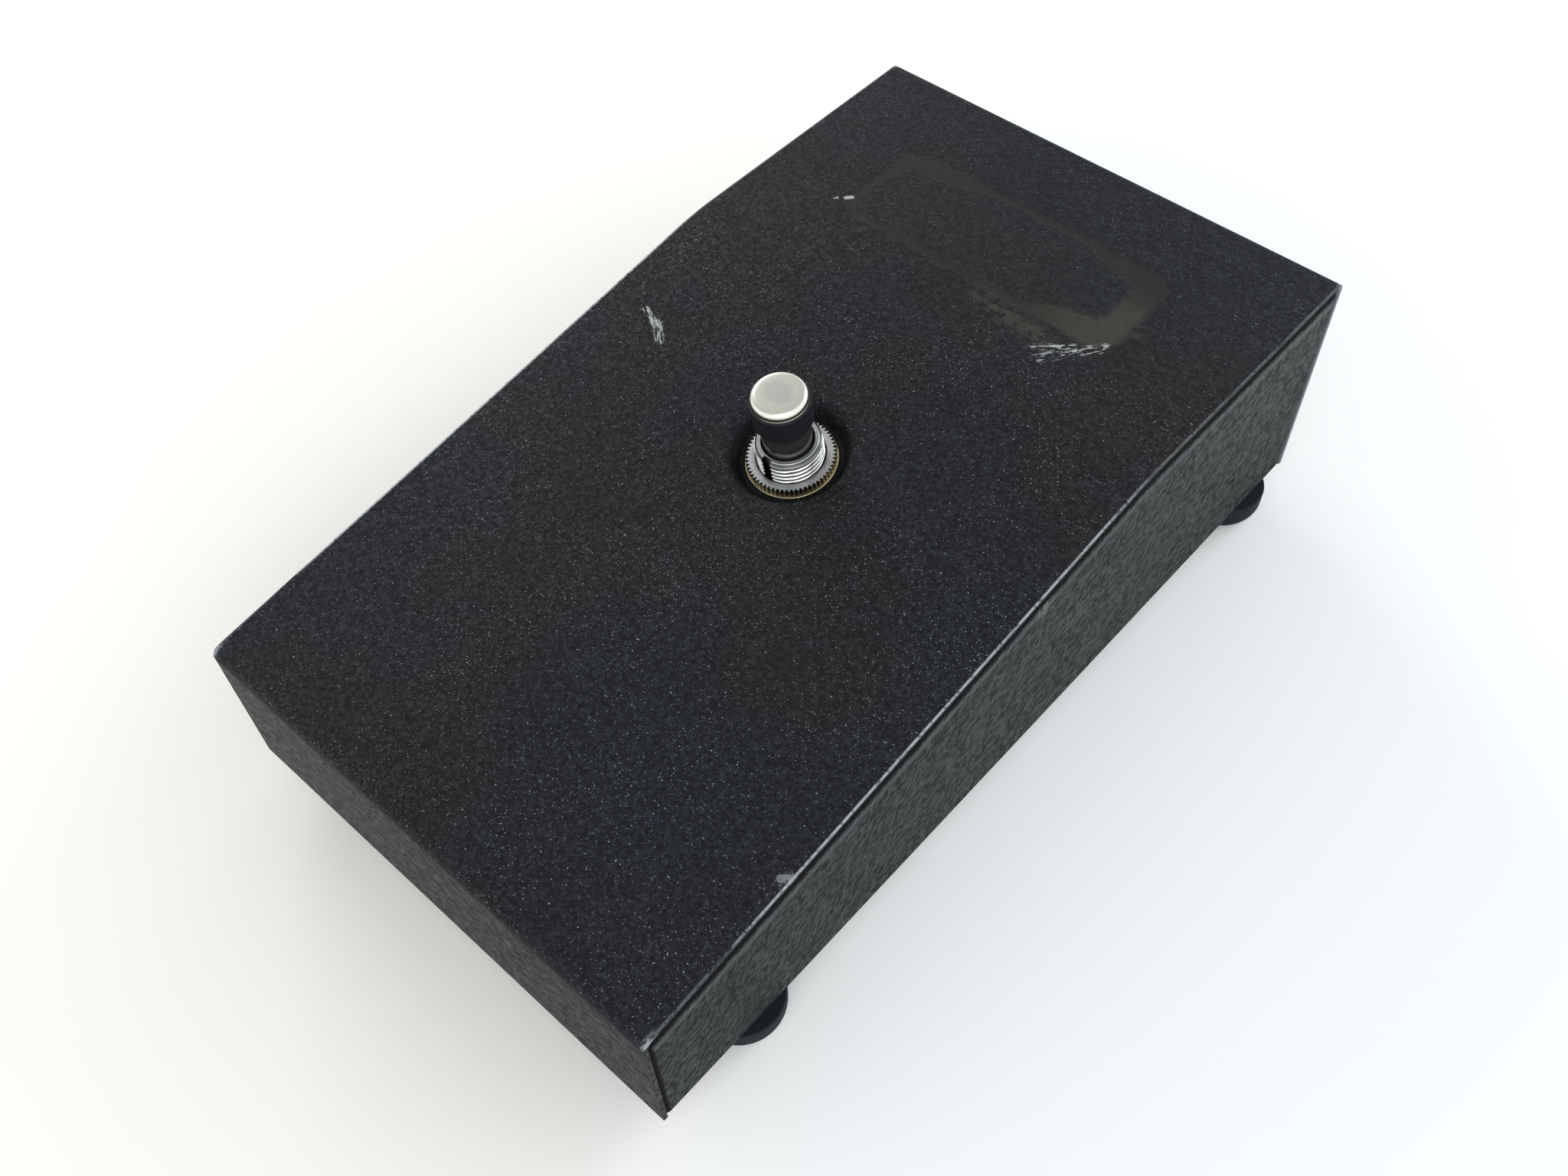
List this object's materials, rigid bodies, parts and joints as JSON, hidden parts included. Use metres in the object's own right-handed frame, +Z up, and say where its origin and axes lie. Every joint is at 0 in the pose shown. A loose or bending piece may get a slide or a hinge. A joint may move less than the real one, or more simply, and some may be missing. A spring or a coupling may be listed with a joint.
{
  "type": "volume pedal",
  "caption": "Wedge-shaped sheet-metal floor pedal with a sprung footswitch in a pressed dish, rubber feet, and jacks and a level knob at the rear.",
  "frame": {"origin": "centre of the bounding box on the surface that the feet stand on; the box includes the knob at the rear", "axes": "+Z up, +X to the right as the player stands, -Y the low front end, +Y the high rear end with the jacks"},
  "size_m": [0.1076, 0.1966, 0.0689],
  "materials": {
    "body_paint": "black hammertone paint",
    "base_steel": "satin black paint",
    "black_rubber": "matt",
    "zinc": "zinc plated",
    "nickel": "satin nickel plate",
    "brass": "plain brass",
    "case_steel": "plated steel",
    "phenolic": "brown phenolic",
    "black_plastic": "moulded black",
    "tinned": "tinned brass",
    "spring_steel": "bright wire",
    "board": "paper laminate",
    "nylon": "white nylon",
    "resistor": "tan lacquer",
    "capacitor": "blue sleeve",
    "transistor": "metal can",
    "battery_shell": "plain printed shell",
    "snap_vinyl": "soft vinyl",
    "wire_pvc": "wire insulation"
  },
  "bodies": {
    "enclosure": {"cover_shell": "body_paint", "side_panel_left": "body_paint", "side_panel_right": "body_paint", "base_plate": "base_steel", "base_screws": "zinc", "foot_front_left": "black_rubber", "foot_front_right": "black_rubber", "foot_rear_left": "black_rubber", "foot_rear_right": "black_rubber", "foot_screws": "zinc", "foot_washers": "zinc", "foot_nuts": "zinc", "switch_bushing": "nickel", "switch_ring_nut": "nickel", "switch_washer": "brass", "switch_back_nut": "nickel", "switch_case": "case_steel", "switch_base": "phenolic", "switch_lugs": "tinned", "switch_spring": "spring_steel", "input_bushing": "nickel", "input_frame": "case_steel", "input_insulator": "phenolic", "input_tip_spring": "brass", "input_nut": "nickel", "input_washer": "zinc", "output_bushing": "nickel", "output_frame": "case_steel", "output_insulator": "phenolic", "output_tip_spring": "brass", "output_nut": "nickel", "output_washer": "zinc", "pot_bushing": "nickel", "pot_case": "case_steel", "pot_washer": "zinc", "pot_nut": "nickel", "pot_wafer": "phenolic", "pot_lugs": "tinned", "circuit_board": "board", "board_spacers": "nylon", "board_screws": "zinc", "board_nuts": "zinc", "resistors": "resistor", "capacitors": "capacitor", "transistors": "transistor", "battery": "battery_shell", "battery_terminals": "nickel", "battery_snap": "snap_vinyl", "battery_clip": "spring_steel", "hookup_wires": "wire_pvc"},
    "plunger": {"plunger_stem": "black_plastic", "plunger_sleeve": "black_plastic", "plunger_cap": "nickel"},
    "rotor": {"contact_rotor": "phenolic"},
    "knob": {"pot_shaft": "nickel", "pot_wiper": "brass", "volume_knob": "black_plastic", "knob_set_screw": "zinc"}
  },
  "joints": [
    {"name": "button_press", "type": "slide", "parent": "enclosure", "child": "plunger", "axis": [0, 0.1376, -0.9905], "range_m": [0, 0.0035], "stiffness_N_per_m": 1500, "springref_m": -0.003, "deforming": ["switch_spring"]},
    {"name": "rotor_turn", "type": "hinge", "parent": "enclosure", "child": "rotor", "pos_m": [0, -0.0087, 0.05275], "axis": [0, -0.1376, 0.9905], "range_deg": [0, 90]},
    {"name": "knob_turn", "type": "hinge", "parent": "enclosure", "child": "knob", "pos_m": [0, 0.0835, 0.031], "axis": [0, 1, 0], "range_deg": [-150, 150]}
  ],
  "couplings": [
    {"joint": "rotor_turn", "follows": "button_press", "rad_per_m": 448.75}
  ]
}
